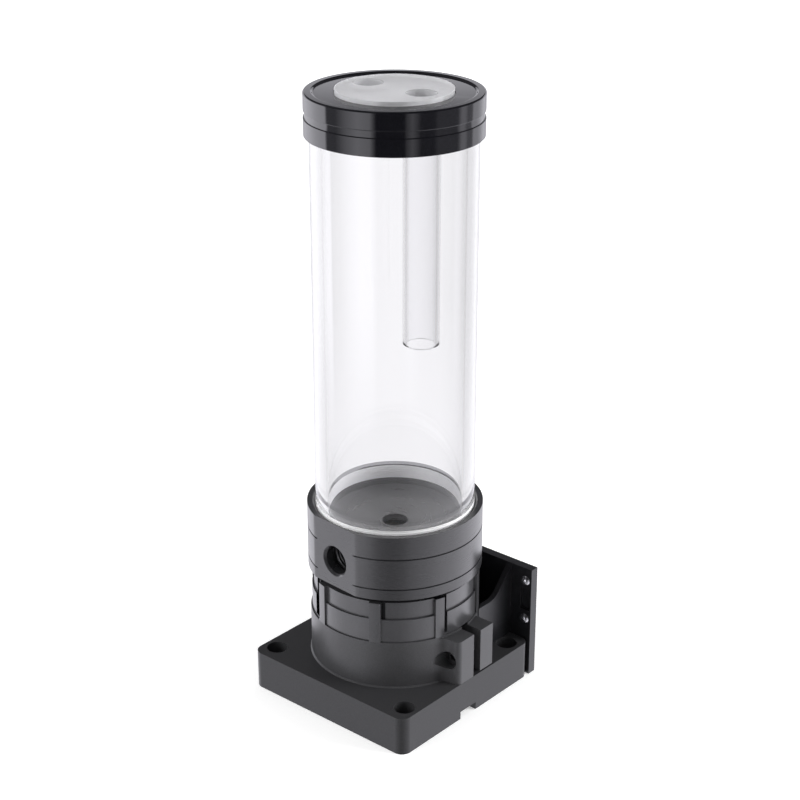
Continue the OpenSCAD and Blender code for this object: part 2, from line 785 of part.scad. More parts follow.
module tube() {
    color("#f2f4f6", 0.35) translate([0, 0, seat_z]) ring(tube_bore_r, tube_d / 2, tube_h);
}

module cap_ring() {
    color("#1c1b20") difference() {
        translate([0, 0, cap_z]) cylinder(r = cap_r, h = cap_h);
        translate([0, 0, cap_z - 1]) cylinder(r = tube_d / 2 + fit, h = lip_z - cap_z + 1);
        cylinder(r = disc_r + gap, h = cap_top + 1);
        translate([0, 0, cap_top - rim_h])
            cylinder(r1 = cap_r - rim_w - rim_h, r2 = cap_r - rim_w + eps, h = rim_h + eps);
        translate([0, 0, cap_z + cap_groove_h - cap_groove_w / 2])
            ring(cap_r - cap_groove_depth, cap_r + 1, cap_groove_w);
        translate([0, 0, cap_top - edge]) rotate_extrude()
            polygon([[cap_r - edge, edge + eps], [cap_r + eps, 0], [cap_r + 1, 0], [cap_r + 1, 1]]);
    }
}

module cap_insert() {
    color("#e0dfe6", 0.8) difference() {
        union() {
            translate([0, 0, tube_top]) cylinder(r = disc_r, h = disc_top - tube_top);
            translate([0, 0, tube_top]) cylinder(r = flange_disc_r, h = disc_flange_t);
            translate([0, 0, spigot_z]) cylinder(r = island_r, h = spigot_h + eps);
        }
        for (x = [-port_x, port_x]) translate([x, 0, 0]) {
            translate([0, 0, disc_top]) port_cut(disc_mouth_d);
            translate([0, 0, spigot_z - 1]) cylinder(r = disc_hole_r, h = disc_top - spigot_z);
        }
        translate([port_x, 0, spigot_z - 1]) cylinder(r = return_d / 2 + fit, h = return_socket + 1);
        translate([0, 0, spigot_z + spigot_h / 2]) o_ring(tube_seal_r, seal_r + seal_room);
    }
}

module insert_seal() {
    color("#111111") translate([0, 0, spigot_z + spigot_h / 2]) o_ring(tube_seal_r, seal_r - fit);
}

module return_tube() {
    color("#f2f4f6", 0.35) translate([port_x, 0, return_top - return_h]) difference() {
        cylinder(d = return_d, h = return_h);
        translate([0, 0, -1]) cylinder(d = return_d - 2 * return_wall, h = return_h + 2);
    }
}

base_plate();
clamp_tower();
rear_bracket();
tower_screws();
bracket_screws();
side_screws();
clamp_screw();
clamp_washer();
clamp_nut();
pump_housing();
motor_can();
pump_body();
stator_core();
stator_coils();
rotor_magnet();
impeller();
bearing_ball();
control_board();
speed_dial();
cable_grommet();
pump_seal();
pump_top();
tube_seal();
tube();
cap_ring();
cap_insert();
insert_seal();
return_tube();
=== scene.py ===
# %% [markdown]
# # A coolant pump reservoir
# A clear tube stands on a black pump top. The pump below it is held by a split
# clamp on a square base, and a plate at the back lets the whole unit be screwed
# to a rack. The measured model is loaded first and is never moved: every piece
# made here is put where that model says, and rides on one of its bodies.

# %% Load the measured model
import json
import math

import bpy
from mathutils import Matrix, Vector

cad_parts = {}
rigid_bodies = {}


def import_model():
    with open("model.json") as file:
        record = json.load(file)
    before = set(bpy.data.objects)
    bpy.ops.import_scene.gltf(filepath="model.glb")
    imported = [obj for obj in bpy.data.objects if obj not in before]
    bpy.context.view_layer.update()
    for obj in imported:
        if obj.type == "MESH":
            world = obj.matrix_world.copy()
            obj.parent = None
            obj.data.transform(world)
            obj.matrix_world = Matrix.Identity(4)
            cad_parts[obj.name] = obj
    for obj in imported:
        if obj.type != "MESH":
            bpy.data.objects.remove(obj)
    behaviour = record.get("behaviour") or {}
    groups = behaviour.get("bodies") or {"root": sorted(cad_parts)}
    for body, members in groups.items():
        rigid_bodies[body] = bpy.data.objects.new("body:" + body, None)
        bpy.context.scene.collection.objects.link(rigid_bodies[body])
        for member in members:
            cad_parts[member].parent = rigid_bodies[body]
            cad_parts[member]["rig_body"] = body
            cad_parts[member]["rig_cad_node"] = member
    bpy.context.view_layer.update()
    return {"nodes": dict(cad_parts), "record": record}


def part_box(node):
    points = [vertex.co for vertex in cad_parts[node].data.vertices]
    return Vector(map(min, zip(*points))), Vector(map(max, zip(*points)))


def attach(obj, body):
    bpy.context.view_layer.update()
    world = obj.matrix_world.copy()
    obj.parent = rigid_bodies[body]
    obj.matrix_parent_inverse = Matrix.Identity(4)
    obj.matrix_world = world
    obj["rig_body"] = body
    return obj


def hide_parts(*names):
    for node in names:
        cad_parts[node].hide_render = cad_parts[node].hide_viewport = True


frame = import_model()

MM = 0.001
scene = bpy.context.scene
record = frame["record"]

# %% [markdown]
# ## Camera
# The camera comes first, because it settles how large everything will look.
# It stands to the right of the front, a little above the cap, and looks down
# at the tube. A long lens keeps the upright edges nearly parallel.

# %% Place the camera
CAMERA_PLACE = Vector((436.2, -500.8, 413.0)) * MM
CAMERA_TILT = 66.83
CAMERA_TURN = 40.88
LENS_MM = 81.3
SENSOR_MM = 36

bpy.ops.object.select_all(action="DESELECT")
bpy.ops.object.camera_add(
    location=CAMERA_PLACE,
    rotation=(math.radians(CAMERA_TILT), 0, math.radians(CAMERA_TURN)),
)
camera = bpy.context.object
camera.name = "camera"
camera.data.sensor_width = SENSOR_MM
camera.data.lens = LENS_MM
camera.data.clip_start = 0.01
scene.camera = camera
print("camera", [round(c, 3) for c in camera.location])

# %% [markdown]
# ## Small helpers
# A few helpers are used all the way through. They start a step with nothing
# selected, read a node's box in millimetres, and finish a piece: it is named,
# given its material and body, and the nodes it stands for are hidden. Rounding
# edges comes up so often that it has a helper too.


# %% Helpers for selecting and finishing
def start_fresh():
    """Leave edit mode and deselect everything."""
    if bpy.context.object and bpy.context.object.mode != "OBJECT":
        bpy.ops.object.mode_set(mode="OBJECT")
    bpy.ops.object.select_all(action="DESELECT")


def select_only(piece):
    start_fresh()
    piece.select_set(True)
    bpy.context.view_layer.objects.active = piece


def box_mm(node):
    low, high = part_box(node)
    return low / MM, high / MM


def settle(piece):
    """Put the object's origin at the world origin with its place in its mesh."""
    select_only(piece)
    bpy.ops.object.transform_apply(location=True, rotation=True, scale=True)


def finish_piece(piece, name, material, body, replaced=()):
    """Name a piece, give it its material and body, and hide the nodes it replaces."""
    settle(piece)
    piece.name = piece.data.name = name
    piece.data.materials.clear()
    piece.data.materials.append(material)
    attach(piece, body)
    if replaced:
        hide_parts(*replaced)
    print(name, len(piece.data.polygons), "faces")
    return piece


print("helpers for pieces ready")


# %% Helpers for modifiers
SMOOTH_EXTRA = 15


def apply_modifier(piece, kind, **settings):
    select_only(piece)
    modifier = piece.modifiers.new(kind.lower(), kind)
    for key, value in settings.items():
        setattr(modifier, key, value)
    bpy.ops.object.modifier_apply(modifier=modifier.name)


def soft_edges(piece, width_mm, angle=30, segments=2):
    """Round every edge sharper than the angle; large faces stay flat to the eye."""
    apply_modifier(
        piece,
        "BEVEL",
        width=width_mm * MM,
        segments=segments,
        limit_method="ANGLE",
        angle_limit=math.radians(angle),
        use_clamp_overlap=True,
    )
    select_only(piece)
    bpy.ops.object.shade_smooth_by_angle(angle=math.radians(angle + SMOOTH_EXTRA))
    apply_modifier(piece, "WEIGHTED_NORMAL", weight=100, keep_sharp=True)


def cut_away(piece, cutter):
    """Take the cutter's shape out of the piece, then remove the cutter."""
    apply_modifier(piece, "BOOLEAN", object=cutter, operation="DIFFERENCE", solver="EXACT")
    select_only(cutter)
    bpy.ops.object.delete()


print("helpers for modifiers ready")

# %% [markdown]
# ## Materials
# Real black plastic and anodised metal are never one flat colour. Each finish
# here has faint marks in its gloss and a very small relief, read from Object
# coordinates so that it stays still on the piece in every view. Values that
# are the same all over go straight on the shader's own sockets.


# %% A finish with fine marks
RELIEF_DEPTH = 0.02
RAMP_ENDS = (0.3, 0.7)


def new_material(name):
    material = bpy.data.materials.new(name)
    material.use_nodes = True
    nodes = material.node_tree.nodes
    return material, nodes, material.node_tree.links, nodes["Principled BSDF"]


def set_values(node, **values):
    """Set a node's sockets; an underscore in a word stands for a space."""
    for name, value in values.items():
        node.inputs[name.replace("_", " ")].default_value = value


def add_noise(nodes, links, scale, detail=2.0, stretch=(1, 1, 1)):
    """Noise over the piece; a small stretch value draws it out along that axis."""
    where = nodes.new("ShaderNodeTexCoord")
    mapping = nodes.new("ShaderNodeMapping")
    noise = nodes.new("ShaderNodeTexNoise")
    set_values(mapping, Scale=stretch)
    set_values(noise, Scale=scale, Detail=detail)
    links.new(where.outputs["Object"], mapping.inputs["Vector"])
    links.new(mapping.outputs["Vector"], noise.inputs["Vector"])
    return noise.outputs["Fac"]


def add_relief(nodes, links, shader, height, strength, distance_mm):
    bump = nodes.new("ShaderNodeBump")
    set_values(bump, Strength=strength, Distance=distance_mm * MM)
    links.new(height, bump.inputs["Height"])
    links.new(bump.outputs["Normal"], shader.inputs["Normal"])


def finish(name, colour, spread=0.12, rough=0.4, rough_spread=0.05, metal=0.0,
           scale=1800, relief=0.1, stretch=(1, 1, 1), gloss_level=0.5):
    """A solid finish whose colour and gloss vary a little over fine noise."""
    material, nodes, links, shader = new_material(name)
    noise = add_noise(nodes, links, scale, stretch=stretch)
    shades = nodes.new("ShaderNodeValToRGB")
    shares = (1 - spread, 1 + spread)
    for element, place, share in zip(shades.color_ramp.elements, RAMP_ENDS, shares):
        element.position = place
        element.color = (*(min(1, part * share) for part in colour), 1)
    links.new(noise, shades.inputs["Fac"])
    links.new(shades.outputs["Color"], shader.inputs["Base Color"])
    gloss = nodes.new("ShaderNodeMapRange")
    set_values(gloss, To_Min=rough - rough_spread, To_Max=rough + rough_spread)
    links.new(noise, gloss.inputs["Value"])
    links.new(gloss.outputs["Result"], shader.inputs["Roughness"])
    add_relief(nodes, links, shader, noise, relief, RELIEF_DEPTH)
    set_values(shader, Metallic=metal, Specular_IOR_Level=gloss_level)
    return material


print("finish helper ready")

# %% [markdown]
# ## The solid finishes
# Each row is one finish of the measured model. The turned and drawn ones have
# their marks pulled out into fine lines, as a lathe or a die leaves them. Two
# more are for pieces made here: the base is moulded in a plastic with less
# shine than the collar, and the walls of deep narrow cuts, which hardly any
# light reaches, get painted shade: a nearly black colour that stands in for
# the shade in them.

# %% Mix the solid finishes
ROUND_LINES = (0.05, 0.05, 2.5)
UP_LINES = (2, 2, 0.08)
FINISHES = {
    "black_acetal": finish("satin black acetal", (0.046, 0.046, 0.049), rough=0.38),
    "black_plate": finish("black coated plate", (0.012, 0.012, 0.014), rough=0.36, relief=0.3),
    "housing_plastic": finish(
        "moulded housing", (0.038, 0.038, 0.041), rough=0.30, gloss_level=1.0
    ),
    "black_satin": finish(
        "turned black acetal", (0.020, 0.020, 0.022), spread=0.05, rough=0.28,
        rough_spread=0.02, relief=0.01, stretch=ROUND_LINES, gloss_level=1.0,
    ),
    "black_gloss": finish(
        "polished black cap", (0.006, 0.006, 0.008), rough=0.05, rough_spread=0.01,
        relief=0.01, stretch=ROUND_LINES,
    ),
    "steel": finish("zinc plated steel", (0.55, 0.55, 0.56), rough=0.35, metal=1.0),
    "bright_steel": finish("bright screw steel", (0.72, 0.72, 0.74), rough=0.22, metal=1.0),
    "black_steel": finish("blackened steel", (0.03, 0.03, 0.032), rough=0.35, metal=0.3),
    "can_steel": finish(
        "drawn motor can", (0.55, 0.55, 0.57), rough=0.3, metal=1.0, stretch=UP_LINES
    ),
    "core_steel": finish(
        "laminated iron", (0.30, 0.28, 0.26), rough=0.5, metal=1.0, stretch=ROUND_LINES
    ),
    "copper": finish(
        "enamelled copper", (0.62, 0.28, 0.12), rough=0.3, metal=1.0, stretch=ROUND_LINES
    ),
    "ferrite": finish("sintered ferrite", (0.06, 0.06, 0.065), rough=0.6, metal=0.3),
    "pump_plastic": finish("glass filled plastic", (0.02, 0.02, 0.022), rough=0.45),
    "pale_plastic": finish("pale plastic", (0.72, 0.71, 0.67), spread=0.04, rough=0.35),
    "ceramic": finish("white ceramic", (0.82, 0.81, 0.78), spread=0.02, rough=0.1),
    "board": finish("green solder resist", (0.01, 0.12, 0.04), rough=0.3),
    "red_plastic": finish("red plastic", (0.42, 0.02, 0.015), rough=0.4),
    "rubber": finish("seal rubber", (0.012, 0.012, 0.012), rough=0.65),
}
base_finish = finish("moulded black base", (0.032, 0.032, 0.034), rough=0.38, gloss_level=0.25)
# Painted shade: a nearly black colour for the walls of the housing's cuts, in place of the shade
# that falls there.
painted_shade_finish = finish("painted shade in cuts", (0.004, 0.004, 0.005), rough=0.6, gloss_level=0.2)
print(len(FINISHES), "solid finishes")

# %% [markdown]
# ## Clear plastic
# The tube is cast acrylic. It bends light like glass, but a lamp's light would
# stop at it and leave the parts inside it dark, so shadow rays pass straight
# through a plain transparent shader. A faint waviness drawn out along the tube
# gives the soft upright streaks that an extruded or polished tube has. Clear
# plastic soaks up a little light on the way, which only shows where light has
# come a long way through the wall, at the tube's upright edges. A surface that
# a tool has cut isn't polished, and haze makes that share of it milky.


# %% Clear and frosted acrylic
ACRYLIC_IOR = 1.49
WAVE_DEPTH = 0.5
SOAK_COLOUR = (0, 0, 0.04, 1)
EVEN = (1, 1, 1)


def shadow_passes(nodes, links, shader, tint):
    """Let light reach what is behind the clear plastic."""
    through = nodes.new("ShaderNodeBsdfTransparent")
    set_values(through, Color=(*tint, 1))
    rays = nodes.new("ShaderNodeLightPath")
    mix = nodes.new("ShaderNodeMixShader")
    links.new(rays.outputs["Is Shadow Ray"], mix.inputs["Fac"])
    links.new(shader.outputs["BSDF"], mix.inputs[1])
    links.new(through.outputs["BSDF"], mix.inputs[2])
    links.new(mix.outputs["Shader"], nodes["Material Output"].inputs["Surface"])


def clear_plastic(name, tint, rough, wave, stretch=EVEN, scale=60, haze=0.0, soak=0.0):
    """Clear plastic; haze is its milky share, soak how strongly it takes up light."""
    material, nodes, links, shader = new_material(name)
    set_values(
        shader, Base_Color=(*tint, 1), Roughness=rough, IOR=ACRYLIC_IOR,
        Transmission_Weight=1.0 - haze,
    )
    noise = add_noise(nodes, links, scale, detail=1.0, stretch=stretch)
    add_relief(nodes, links, shader, noise, wave, WAVE_DEPTH)
    shadow_passes(nodes, links, shader, tint)
    if soak:
        depth = nodes.new("ShaderNodeVolumeAbsorption")
        set_values(depth, Color=SOAK_COLOUR, Density=soak)
        links.new(depth.outputs["Volume"], nodes["Material Output"].inputs["Volume"])
    return material


def cut_plastic(name, tint, rough, haze):
    """Clear plastic as a cutting tool leaves it."""
    return clear_plastic(name, tint, rough, wave=0.1, scale=900, haze=haze)


FINISHES["clear_acrylic"] = clear_plastic(
    "clear cast acrylic", (0.995, 0.994, 1.0), rough=0.0, wave=0.02, stretch=(1, 1, 0.05), soak=5.0
)
FINISHES["frosted_acrylic"] = clear_plastic(
    "frosted acrylic", (0.93, 0.93, 0.945), rough=0.30, wave=0.05, scale=300, haze=0.45
)
print("clear finishes ready")

# %% Give every node of the measured model its finish
body_of_node = {
    node: body
    for body, nodes in record["behaviour"]["bodies"].items()
    for node in nodes
}
slot_of_node = {row["node"]: row["material_slot"] for row in record["subparts"]}
for node, cad in frame["nodes"].items():
    cad.data.materials.clear()
    cad.data.materials.append(FINISHES[slot_of_node[node]])
print("finished", len(frame["nodes"]), "nodes")

# %% [markdown]
# ## Machined edges
# A machined or moulded part never has a knife edge. Its edges are broken by a
# few tenths of a millimetre, and that small round is what catches the light.
# The measured pieces are copied, their loose triangles are merged into clean
# faces, and a narrow bevel rounds the edges.


# %% Copy a node and round its edges
SAME_POINT = 0.002
SAME_PLANE = 0.4


def merge_flat(piece):
    """Join doubled corners and merge triangles that lie in one plane."""
    select_only(piece)
    bpy.ops.object.mode_set(mode="EDIT")
    bpy.ops.mesh.select_all(action="SELECT")
    bpy.ops.mesh.remove_doubles(threshold=SAME_POINT * MM)
    bpy.ops.mesh.dissolve_limited(angle_limit=math.radians(SAME_PLANE))
    bpy.ops.object.mode_set(mode="OBJECT")


def copy_of(node):
    """A free copy of a node's mesh, merged into clean faces."""
    start_fresh()
    cad = frame["nodes"][node]
    cad.select_set(True)
    bpy.context.view_layer.objects.active = cad
    bpy.ops.object.duplicate()
    piece = bpy.context.object
    bpy.ops.object.parent_clear(type="CLEAR_KEEP_TRANSFORM")
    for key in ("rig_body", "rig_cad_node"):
        del piece[key]
    merge_flat(piece)
    return piece


def finish_copy(piece, node, name, material=None):
    """Finish a copy that stands for its node."""
    slot = slot_of_node[node]
    return finish_piece(
        piece, name, material or FINISHES[slot], body_of_node[node], [node]
    )


def dress(node, name, width_mm, material=None):
    piece = copy_of(node)
    soft_edges(piece, width_mm)
    return finish_copy(piece, node, name, material)


dress("base_plate", "square_base", 0.35, base_finish)
dress("clamp_tower", "split_clamp", 0.3)
dress("rear_bracket", "rear_plate", 0.25)
dress("cap_ring", "screw_cap", 0.2)
dress("clamp_screw", "clamp_screw_head", 0.12)
dress("side_screws", "plate_screw_heads", 0.1)

# %% [markdown]
# ## Turned shapes
# Round pieces and round cutters are made as a lathe makes them: one closed
# outline is taken round the upright axis. The spin operator could do it, but
# it lists its facets in a different order each time. A screw modifier with no
# rise gives the same shape in the same order, so that the cuts made with it
# come out alike on every run. Only the joints between the facets are smoothed,
# a few degrees each. A wider angle would smooth across the shallow threads of
# the tube too, and bend the light in its plain wall.


# %% Turn a closed outline round the upright axis
FACETS = 192
SMALL_FACETS = 96
FACET_ANGLE = 5


def turned(outline_mm, segments=FACETS):
    """Take a closed outline of (radius, height) points, in millimetres, full circle."""
    start_fresh()
    bpy.ops.mesh.primitive_plane_add(size=0.001)
    piece = bpy.context.object
    bpy.ops.object.mode_set(mode="EDIT")
    bpy.ops.mesh.select_all(action="SELECT")
    bpy.ops.mesh.merge(type="CENTER")
    last = Vector((0, 0, 0))
    for number, (r, z) in enumerate(outline_mm):
        here = Vector((r, 0, z)) * MM
        if number:
            bpy.ops.mesh.extrude_region_move(TRANSFORM_OT_translate={"value": here - last})
        else:
            bpy.ops.transform.translate(value=here)
        last = here
    bpy.ops.mesh.select_all(action="SELECT")
    bpy.ops.mesh.edge_face_add()
    bpy.ops.mesh.delete(type="ONLY_FACE")
    bpy.ops.object.mode_set(mode="OBJECT")
    apply_modifier(
        piece, "SCREW", axis="Z", angle=math.tau, steps=segments, render_steps=segments
    )
    select_only(piece)
    bpy.ops.object.mode_set(mode="EDIT")
    bpy.ops.mesh.select_all(action="SELECT")
    bpy.ops.mesh.remove_doubles(threshold=0.000001)
    bpy.ops.mesh.normals_make_consistent(inside=False)
    bpy.ops.object.mode_set(mode="OBJECT")
    select_only(piece)
    bpy.ops.object.shade_smooth_by_angle(angle=math.radians(FACET_ANGLE))
    return piece


print("one facet of a turned piece covers", round(360 / FACETS, 2), "degrees")

# %% [markdown]
# ## The ribbed housing
# The ring under the collar is moulded. Its top is stepped in all the way round,
# which leaves a dark line below the collar, and the two slots on its far sides
# run straight back as the mould's slides leave them, so they look deep and
# black from the front. Both are cut out of a copy of the measured ring with
# boolean modifiers, because the cuts run across its ribs. Their walls are
# also painted nearly black, as painted shade that darkens the line and slots.

# %% Cut the step under the collar
HOUSING_R = 35.3
SEAM = 1.3
STEP_H = 0.9
STEP_IN = 3.5
STEP_CUTTER_H = 3.0
CORE_H = 5.0
SPARE = 1.0

housing = copy_of("pump_housing")
tower_top = box_mm("clamp_tower")[1].z
ring_top = box_mm("pump_top")[0].z - SEAM
start_fresh()
bpy.ops.mesh.primitive_cylinder_add(
    vertices=FACETS,
    radius=(HOUSING_R + SPARE) * MM,
    depth=STEP_CUTTER_H * MM,
    location=(0, 0, (ring_top - STEP_H + STEP_CUTTER_H / 2) * MM),
)
step_cutter = bpy.context.object
bpy.ops.mesh.primitive_cylinder_add(
    vertices=FACETS,
    radius=(HOUSING_R - STEP_IN) * MM,
    depth=CORE_H * MM,
    location=step_cutter.location,
)
cut_away(step_cutter, bpy.context.object)
cut_away(housing, step_cutter)
print("step cut from", round(ring_top - STEP_H, 2), "mm up")

# %% Cut the two slots
SLOT_W = 2.6
SLOT_L = 9
SLOT_ANGLES = (-115.5, 64.5)
SLOT_RUNS = -88
SLOT_LIFT = 1
SLOT_INSET = 0.2


def off_axis(radius, degrees, height=0.0):
    """The point at this radius, this far round the upright axis."""
    turn = math.radians(degrees)
    return Vector((radius * math.cos(turn), radius * math.sin(turn), height))


for angle in SLOT_ANGLES:
    start_fresh()
    bpy.ops.mesh.primitive_cube_add(size=1)
    slot_cutter = bpy.context.object
    slot_cutter.scale = Vector((SLOT_L, SLOT_W, ring_top - tower_top)) * MM
    slot_cutter.rotation_euler.z = math.radians(SLOT_RUNS)
    middle = (ring_top + tower_top) / 2 + SLOT_LIFT
    slot_cutter.location = off_axis(HOUSING_R - SLOT_INSET, angle, middle) * MM
    settle(slot_cutter)
    cut_away(housing, slot_cutter)
soft_edges(housing, 0.25)
finish_copy(housing, "pump_housing", "ribbed_housing")

# %% Paint shade on the walls of the cuts
SHADE_PAST = 0.3
SHADE_BELOW = 0.05
SHADE_BESIDE = 0.2
SHADE_FOOT = 0.8
SHADE_FROM, SHADE_TO = 0.9, 7

# The second material is painted shade: the faces inside the step and the slots, picked below, get
# the nearly black colour.
housing.data.materials.append(painted_shade_finish)
slot_run = off_axis(1, SLOT_RUNS)
slot_mouths = [off_axis(HOUSING_R, angle) for angle in SLOT_ANGLES]


def in_step(place, depth):
    return place.z > ring_top - STEP_H - SHADE_BELOW and depth < STEP_IN + SHADE_PAST


def in_slot(place, depth):
    aside = min(abs((place - mouth).cross(slot_run).z) for mouth in slot_mouths)
    return (
        aside < SLOT_W / 2 + SHADE_BESIDE
        and SHADE_FROM < depth < SHADE_TO
        and place.z > tower_top + SHADE_FOOT
    )


painted_shade_faces = 0
for face in housing.data.polygons:
    place = face.center / MM
    depth = HOUSING_R - place.xy.length
    if in_step(place, depth) or in_slot(place, depth):
        face.material_index = 1
        painted_shade_faces += 1
print(painted_shade_faces, "faces in shade")

# %% [markdown]
# ## Port threads
# The four ports take a G1/4 fitting: 19 turns to the inch, so 1.337 mm from
# turn to turn. The measured model has a plain bore at the thread's inner size.
# Here the bore is opened to the thread's root, with a small countersink at the
# mouth, and a three-sided ridge is wound up inside it, which is the wall that
# a tap leaves standing.

# %% Open a port's bore
THREAD_PITCH = 1.337
THREAD_ROOT_R = 6.5
THREAD_DEPTH = 7.4
BORE_END = 0.35
COUNTERSINK = 0.6
CUTTER_SPARE = 0.5
mount_of = {row["name"]: row for row in record["mounts"]}


def ports_of(start):
    return [mount for name, mount in mount_of.items() if name.startswith(start)]


def at_port(mount, piece, sink_mm):
    """Stand a piece drawn along +Z in a port, sunk below the port's mouth."""
    axis = Vector(mount["axis"]).normalized()
    piece.rotation_euler = axis.to_track_quat("Z", "Y").to_euler()
    piece.location = Vector(mount["pos_m"]) - axis * sink_mm * MM


def open_bore(piece, mount):
    """One turned cutter takes out the bore and its countersink together."""
    floor_z = -THREAD_DEPTH - BORE_END
    cutter = turned([
        (0, floor_z),
        (THREAD_ROOT_R, floor_z),
        (THREAD_ROOT_R, -COUNTERSINK),
        (THREAD_ROOT_R + COUNTERSINK + CUTTER_SPARE, CUTTER_SPARE),
        (0, CUTTER_SPARE),
    ], SMALL_FACETS)
    at_port(mount, cutter, 0)
    settle(cutter)
    cut_away(piece, cutter)
    merge_flat(piece)


print(len(ports_of("side_port")) + len(ports_of("disc_port")), "threaded ports")

# %% Wind a ridge up a bore
STEPS_PER_TURN = 48
PLAIN_ENDS = 2.0
RIDGE_SINK = 1.1
RIDGE_ROOT = 0.15


def ridge_triangle(crest_r):
    """The ridge's upright triangle, its tip at the crest and its foot in the wall."""
    start_fresh()
    bpy.ops.mesh.primitive_circle_add(
        vertices=3, radius=0.5 * THREAD_PITCH * MM, fill_type="NOTHING"
    )
    ridge = bpy.context.object
    ridge.rotation_euler = (math.radians(90), 0, 0)
    settle(ridge)
    bpy.ops.transform.rotate(
        value=math.radians(90), orient_axis="Y", orient_type="GLOBAL", center_override=(0, 0, 0)
    )
    settle(ridge)
    across = [corner.co.x for corner in ridge.data.vertices]
    ridge.scale.x = (THREAD_ROOT_R + RIDGE_ROOT - crest_r) * MM / (max(across) - min(across))
    settle(ridge)
    ridge.location.x = crest_r * MM - min(corner.co.x for corner in ridge.data.vertices)
    settle(ridge)
    return ridge


def close_ends(piece):
    """Fill the open ends and turn every face outwards."""
    select_only(piece)
    bpy.ops.object.mode_set(mode="EDIT")
    bpy.ops.mesh.select_all(action="DESELECT")
    bpy.ops.mesh.select_non_manifold()
    bpy.ops.mesh.fill()
    bpy.ops.mesh.select_all(action="SELECT")
    bpy.ops.mesh.normals_make_consistent(inside=False)
    bpy.ops.object.mode_set(mode="OBJECT")


def thread_ridge(mount, node, material=None):
    """Wind the triangle up the bore with a screw modifier."""
    ridge = ridge_triangle(mount["dims"]["r_mm"])
    turns = (THREAD_DEPTH - PLAIN_ENDS) / THREAD_PITCH
    steps = int(STEPS_PER_TURN * turns)
    apply_modifier(
        ridge, "SCREW", axis="Z", angle=math.tau * turns,
        screw_offset=-THREAD_PITCH * turns * MM, steps=steps, render_steps=steps,
        use_merge_vertices=True,
    )
    close_ends(ridge)
    at_port(mount, ridge, RIDGE_SINK)
    slot = slot_of_node[node]
    name = mount["name"] + "_thread"
    finish_piece(ridge, name, material or FINISHES[slot], body_of_node[node])
    bpy.ops.object.shade_smooth_by_angle(angle=math.radians(30))


print(round((THREAD_DEPTH - PLAIN_ENDS) / THREAD_PITCH, 1), "turns in each thread")

# %% [markdown]
# ## The collar and the disc
# The collar is the pump's top. Its upper edge is cut at an angle where the tube
# goes in, as a lead for the seal, and the tube's foot shows bright above it.
# The disc in the cap is clear plastic with a matt skin. Its two ports are
# darker than its face: their cut walls are milky, and their colour is also
# darkened as painted shade inside the holes.

# %% Cut the collar's lead-in and its ports
LEAD_IN = 1.2
TUBE_GAP = 0.06

collar = copy_of("pump_top")
rim = box_mm("pump_top")[1].z
tube_outside = box_mm("tube")[1].x
cut_away(collar, turned([
    (tube_outside - SPARE, rim - LEAD_IN),
    (tube_outside + TUBE_GAP, rim - LEAD_IN),
    (tube_outside + TUBE_GAP + LEAD_IN + CUTTER_SPARE, rim + CUTTER_SPARE),
    (tube_outside - SPARE, rim + CUTTER_SPARE),
]))
for mount in ports_of("side_port"):
    open_bore(collar, mount)
    thread_ridge(mount, "pump_top")
soft_edges(collar, 0.15)
finish_copy(collar, "pump_top", "pump_collar")

# %% Cut the disc's ports
# The ports' cut acrylic is milky, and its darker tint is painted shade for the inside of the
# holes.
port_acrylic_painted_shade = cut_plastic("cut port acrylic with painted shade", (0.66, 0.66, 0.675), 0.4, 0.5)
disc = copy_of("cap_insert")
disc_ports = ports_of("disc_port")
for mount in disc_ports:
    open_bore(disc, mount)
    thread_ridge(mount, "cap_insert", port_acrylic_painted_shade)
soft_edges(disc, 0.2)
finish_copy(disc, "cap_insert", "port_disc")

# %% Give the cut walls of the disc's ports their milky finish and painted shade
NEAR_BORE = 0.3

disc.data.materials.append(port_acrylic_painted_shade)
cut_faces = 0
for face in disc.data.polygons:
    for mount in disc_ports:
        out = face.center - Vector(mount["pos_m"])
        if out.xy.length < (THREAD_ROOT_R + NEAR_BORE) * MM and out.z > -THREAD_DEPTH * MM:
            face.material_index = 1
            cut_faces += 1
print(cut_faces, "cut faces on the disc")

# %% [markdown]
# ## The tube
# The tube is turned from one closed outline: bore, foot, the threaded stretch
# that screws into the collar, the plain wall and the threaded stretch under
# the cap. Many narrow facets keep its edge round where it bends the light.
# The threads are cut and stay unpolished, so they get a milky finish. It is
# strongest at the last turns that stand out of the collar.


# %% Turn the tube
TUBE_WALL = 5.0
TUBE_CHAMFER = 0.8
BORE_CHAMFER = 0.3
CREST_IN = 0.03
HEAD_RELIEF = 0.4
RUN_OUT = (0.3, 0.7, 2.6)
low, high = box_mm("tube")
tube_r = high.x
tube_bore = tube_r - TUBE_WALL


def teeth(start_z, turns, pitch, tooth):
    """Outline of a threaded stretch, one tooth for each turn."""
    points = []
    for turn in range(turns):
        z = start_z + turn * pitch
        points += [(tube_r - tooth, z), (tube_r - CREST_IN, z + 0.5 * pitch)]
    return points + [(tube_r - tooth, start_z + turns * pitch)]


foot = teeth(start_z=low.z + 0.3, turns=9, pitch=1.0, tooth=0.12)
head = teeth(start_z=high.z - 7.8, turns=5, pitch=1.5, tooth=0.45)
foot_end, head_start = foot[-1][1], head[0][1]
tube = turned(
    [(tube_bore, low.z), (tube_r - TUBE_CHAMFER, low.z)]
    + foot
    + [(tube_r, foot_end + rise) for rise in RUN_OUT]
    + [(tube_r, head_start - HEAD_RELIEF)]
    + head
    + [(tube_r - TUBE_CHAMFER, high.z), (tube_bore + BORE_CHAMFER, high.z)]
    + [(tube_bore, high.z - BORE_CHAMFER)]
)
finish_piece(
    tube, "clear_tube", FINISHES["clear_acrylic"], body_of_node["tube"], ["tube"]
)

# %% Leave the cut threads frosty
THREAD_ZONE = 0.6
FROSTY_H = 5

